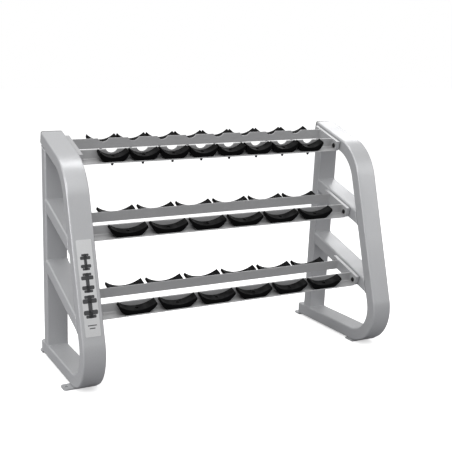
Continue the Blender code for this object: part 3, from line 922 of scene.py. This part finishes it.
def makeWelds(name, runs, cyclic, tree, finish, slot, radius):
    mesh = runTree(pathCurve(name, runs, cyclic), tree, {
        "Bead Radius": radius, "Ripple Pitch": weld["ripplePitch"], "Ripple Depth": weld["rippleDepth"],
        "Wander": weld["wander"], "Seed": weld["seed"], "Material": finishes[finish],
    })
    finishPiece(name, mesh, finish, slot, sharp=80)


beadTree = weldBeadTree()
makeWelds("jointWelds", jointWelds, True, beadTree, "frameSilver", "frame_silver", weld["radius"])
makeWelds("footWelds", footWelds, False, beadTree, "frameSilver", "frame_silver", weld["radius"])
makeWelds("railWelds", railWelds(), False, beadTree, "railGrey", "rail_grey", weld["railRadius"])
print("welds ready")


hardware = {
    "screw": {"head": 0.0058, "height": 0.0026, "socket": 0.0022, "socketDepth": 0.0018},
    "nut": {"acrossFlats": 0.013, "height": 0.0065, "washer": 0.0085, "washerHeight": 0.0012,
            "chamfer": 0.0008, "crown": 0.0006},
    "tip": {"radius": 0.0038, "pitch": 0.00125, "reach": 0.0110, "chamfer": 0.0009},
    "threadCap": {"radius": 0.0056, "reach": 0.0205},
    "bolt": {"head": 0.0098, "height": 0.0056, "socket": 0.0034, "socketDepth": 0.0030,
             "washer": 0.0118, "washerHeight": 0.0013},
}


def circle(radius, height, steps):
    turns = [2 * math.pi * i / steps for i in range(steps)]
    return [(radius * math.cos(turn), radius * math.sin(turn), height) for turn in turns]


def hexagon(radius, height, steps):
    # points evenly spaced in angle on a hexagon
    points = []
    for x, y, z in circle(radius, height, steps):
        within = math.atan2(y, x) % (math.pi / 3) - math.pi / 6
        reach = math.cos(math.pi / 6) / math.cos(within)
        points.append((reach * x, reach * y, z))
    return points


def turnedMesh(name, profile, steps, socketRadius=0.0, socketDepth=0.0):
    # a solid turned about Z from (radius, height) points, top first, with a hexagonal socket
    rings = [circle(radius, height, steps) for radius, height in profile]
    if socketRadius:
        top = profile[0][1]
        rings = [hexagon(socketRadius, height, steps) for height in (top - socketDepth, top)] + rings
    return solid(name, rings)


def nutMesh():
    # a washer with a chamfered hexagon on it, its outer end at +Z
    nut = hardware["nut"]
    radius, height, washer = nut["acrossFlats"] / math.sqrt(3), nut["height"], nut["washerHeight"]
    rings = [circle(nut["washer"], level, 24) for level in (0.0, washer)]
    body = [(1.0, washer), (1.0, height - nut["chamfer"]), (0.88, height), (0.34, height + nut["crown"])]
    rings += [hexagon(radius * shrink, level, 24) for shrink, level in body]
    return solid("nut", rings)


def tipMesh(length):
    # the threaded end of a screw, with a chamfered point
    tip = hardware["tip"]
    radius, pitch, root = tip["radius"], tip["pitch"], tip["radius"] * 0.87
    start = length - tip["chamfer"]
    profile = [(radius * 0.70, length), (radius * 0.90, start)]
    for turn in range(int(start / pitch)):
        crest = start - (turn + 0.4) * pitch
        profile += [(radius, crest), (root, crest - 0.5 * pitch)]
    return turnedMesh("tip", profile + [(root, 0.0)], 18)


def threadCapMesh(length):
    # a domed plastic cap pushed over a screw's end, with a rim at its foot
    radius = hardware["threadCap"]["radius"]
    rim, rimHeight = radius * 1.06, 0.0012
    angles = [math.radians(step) for step in (75, 55, 35, 15)]
    profile = [(radius * math.cos(a), length - radius * (1 - math.sin(a)) * 0.6) for a in angles]
    return turnedMesh("threadCap", profile + [(radius, length * 0.5), (rim, rimHeight), (rim, 0.0)], 24)


def makeFasteners(name, source, spots, tree, finish, slot, seed):
    # spots are (place, facing) pairs; the fastener stands on its place with +Z along facing
    mesh = bpy.data.meshes.new(name + "Spots")
    mesh.from_pydata([place for place, _ in spots], [], [])
    facing = mesh.attributes.new("facing", "FLOAT_VECTOR", "POINT")
    for i, (_, direction) in enumerate(spots):
        facing.data[i].vector = direction
    part = addObject(name + "Source", source)
    result = runTree(addObject(name + "Spots", mesh), tree, {
        "Fastener": part, "Size": 1.0, "Seed": seed, "Material": finishes[finish],
    })
    bpy.data.objects.remove(part)
    finishPiece(name, result, finish, slot, sharp=32)


def screwMesh():
    screw = hardware["screw"]
    head, top = screw["head"], screw["height"]
    profile = [(head * 0.82, top), (head, top - 0.0004), (head, top - 0.0010), (head * 0.7, 0.0)]
    return turnedMesh("screw", profile, 24, screw["socket"], screw["socketDepth"])


def boltMesh():
    # a button head on a washer
    bolt = hardware["bolt"]
    washer, rim = bolt["washer"], bolt["washerHeight"]
    button = ((0.52, 1.0), (0.74, 0.92), (0.90, 0.70), (0.98, 0.44))
    profile = [(bolt["head"] * wide, bolt["height"] * high) for wide, high in button]
    profile += [(bolt["head"], rim), (washer - 0.0003, rim), (washer, rim - 0.0003), (washer, 0.0)]
    return turnedMesh("bolt", profile, 30, bolt["socket"], bolt["socketDepth"])


def makeHardware(tree):
    screws, nuts, bolts = [], [], []
    nutHeight, lift = hardware["nut"]["height"], rack["lift"]
    for level in tiers:
        matrix = tierMatrix(level)
        turn = matrix.to_3x3()
        up, down = turn @ Vector((0, 0, 1)), turn @ Vector((0, 0, -1))
        tips = []
        for x in saddlePlaces(level):
            for end in ends.values():
                y = end * saddleMiddle
                screws.append((matrix @ Vector((x, y, cradle - saddle["sinkDepth"] + lift)), up))
                nuts.append((matrix @ Vector((x, y, -rail["leg"] - lift)), down))
                tips.append((matrix @ Vector((x, y, -rail["leg"] - nutHeight)), down))
        if tiers[level]["notched"]:
            cover = threadCapMesh(hardware["threadCap"]["reach"] - nutHeight)
            makeFasteners(level + "ThreadCaps", cover, tips, tree, "capBlack", "saddle_black", 13)
        else:
            point = tipMesh(hardware["tip"]["reach"] - nutHeight)
            makeFasteners(level + "ScrewTips", point, tips, tree, "blackOxide", "saddle_black", 13)
        for sign in sides.values():
            x = sign * (railLength / 2 + rack["fit"])
            for end in ends.values():
                spot = Vector((x, end * bracket["boltReach"], -bracket["boltDrop"]))
                bolts.append((matrix @ spot, Vector((-sign, 0, 0))))
    makeFasteners("saddleScrews", screwMesh(), screws, tree, "blackOxide", "saddle_black", 11)
    makeFasteners("saddleNuts", nutMesh(), nuts, tree, "brightZinc", "bracket_silver", 12)
    makeFasteners("bracketBolts", boltMesh(), bolts, tree, "blackOxide", "saddle_black", 14)


makeHardware(fastenerTree())
print("hardware ready")


# the nameplate on the left leg bears plain pictures of dumbbells
nameplate = {
    "width": 0.066, "length": 0.402, "middle": 0.478, "thickness": 0.0012, "corner": 0.006,
    "bevel": 0.0003, "mark": 0.00025,
    "dumbbells": ((0.108, 0.84), (0.022, 1.0), (-0.077, 1.16)),     # place along the plate, size
    # a dumbbell's bar and discs, each with its place along the bar, its width and its length
    "dumbbell": ((0, 0.0150, 0.082), (-0.0205, 0.052, 0.0165), (-0.0350, 0.037, 0.0110),
                 (0.0205, 0.052, 0.0165), (0.0350, 0.037, 0.0110)),
    "lines": ((-0.154, 0.038, 0.0042), (-0.166, 0.024, 0.0042)),
}


def platePlace(across, along, lift):
    # across the leg's outer face, along it from the floor end, and out of it
    point = legFace[0] + legFace[1] * (nameplate["middle"] + along) - inward(legFace[1]) * lift
    return placed(-frameCentre + across, point)


def makeNameplate():
    outline = roundedBox(nameplate["width"], nameplate["length"], nameplate["corner"], 8)
    mesh = prism("plate", outline, platePlace, rack["lift"], nameplate["thickness"])
    finishPiece("nameplate", shaped(mesh, nameplate["bevel"]), "brushedAluminium", "bracket_silver")
    marks = list(nameplate["lines"])
    for middle, size in nameplate["dumbbells"]:
        for place, width, length in nameplate["dumbbell"]:
            marks.append((middle + place * size, width * size, length * size))
    lifts = (nameplate["thickness"], nameplate["thickness"] + nameplate["mark"])
    bm = bmesh.new()
    for middle, width, length in marks:
        outline = roundedBox(width, length, min(width, length) * 0.3, 4)
        skin(bm, [[platePlace(a, middle + b, lift) for a, b in outline] for lift in lifts])
    finishPiece("nameplateMarks", meshFrom(bm, "marks"), "plateInk", "saddle_black")


makeNameplate()
print("nameplate ready")


studio = {
    "floorDrop": 0.0004,    # keeps the floor off the soles of the feet
    "floorColour": (0.95, 0.95, 0.95, 1), "floorCloud": (0.9405, 0.9405, 0.9405, 1),
    "floorBounce": (0.31, 0.31, 0.32, 1), "floorGlow": 0.55,
    "backdrop": (1.0, 1.0, 1.0, 1), "skyLow": 0.39, "skyHigh": 0.74,
    "lights": [
        # name, place, aim, size, power
        ("overhead", (0.0, 0.25, 4.4), (0.0, 0.1, 1.0), (4.2, 0.8), 38.0),
        ("frontKey", (-1.8, -4.0, 4.4), (0.1, 0.0, 0.6), (3.0, 2.6), 98.0),
        ("frontRight", (3.4, -3.4, 2.8), (0.5, 0.0, 0.5), (3.0, 3.0), 30.0),
        ("leftFill", (-4.0, -0.6, 1.7), (-0.2, 0.0, 0.5), (1.8, 1.8), 52.0),
        ("backRight", (2.2, 1.9, 2.6), (0.7, 0.1, 1.0), (1.2, 1.0), 11.0),
    ],
}

camera = {
    "azimuth": -26.2627, "pitch": 10.9854, "lens": 67.65,
    "x": -1.7125, "behind": 3.91081, "height": 1.38841,
}


def makeFloor():
    bm = bmesh.new()
    bmesh.ops.create_circle(bm, cap_ends=True, segments=96, radius=40)
    mesh = meshFrom(bm, "studioFloor")
    mesh.transform(Matrix.Translation((0, 0, -studio["floorDrop"])))
    floor = addObject("studioFloor", mesh)
    material, tree, shader, where = newMaterial("floorPale", Roughness=0.9, Specular_IOR_Level=0.1)
    noise = texture(tree, "Noise", where, Scale=3.0, Detail=3.0)
    tone = mixColours(tree, noise, studio["floorColour"], studio["floorCloud"])
    # the floor looks paler than the light it throws back
    seen = put(tree, "ShaderNodeLightPath").outputs["Is Camera Ray"]
    feed(tree, shader.inputs["Base Color"], mixColours(tree, seen, studio["floorBounce"], tone))
    shader.inputs["Emission Color"].default_value = (1, 1, 1, 1)
    feed(tree, shader.inputs["Emission Strength"], maths(tree, "MULTIPLY", seen, studio["floorGlow"]))
    floor.data.materials.append(material)


def aimed(obj, place, target):
    obj.location = place
    obj.rotation_euler = (Vector(target) - Vector(place)).to_track_quat("-Z", "Y").to_euler()


def makeLights():
    world = bpy.data.worlds.new("studioWorld")
    world.use_nodes = True
    tree = world.node_tree
    sky = tree.nodes["Background"]
    # brighter overhead than at the horizon; the backdrop itself is plain white
    where = put(tree, "ShaderNodeTexCoord").outputs["Generated"]
    lift = put(tree, "ShaderNodeSeparateXYZ", {0: where}).outputs["Z"]
    level = ramp(tree, lift, -0.05, 0.95, studio["skyLow"], studio["skyHigh"])
    grey = put(tree, "ShaderNodeCombineColor", {"Red": level, "Green": level, "Blue": level}).outputs[0]
    seen = put(tree, "ShaderNodeLightPath").outputs["Is Camera Ray"]
    feed(tree, sky.inputs["Color"], mixColours(tree, seen, grey, studio["backdrop"]))
    bpy.context.scene.world = world
    for name, place, target, (wide, high), power in studio["lights"]:
        light = bpy.data.lights.new(name, "AREA")
        light.shape = "RECTANGLE"
        light.size = wide
        light.size_y = high
        light.energy = power
        aimed(addObject(name, light), place, target)


def makeCamera():
    data = bpy.data.cameras.new("rackCamera")
    data.lens = camera["lens"]
    data.sensor_width = 36
    data.clip_end = 100
    obj = addObject("rackCamera", data)
    obj.location = (camera["x"], shiftY - camera["behind"], camera["height"])
    obj.rotation_euler = (math.radians(90 - camera["pitch"]), 0, math.radians(camera["azimuth"]))
    bpy.context.scene.camera = obj


makeFloor()
makeLights()
makeCamera()
bpy.context.scene.view_settings.view_transform = "Standard"
print("studio ready")
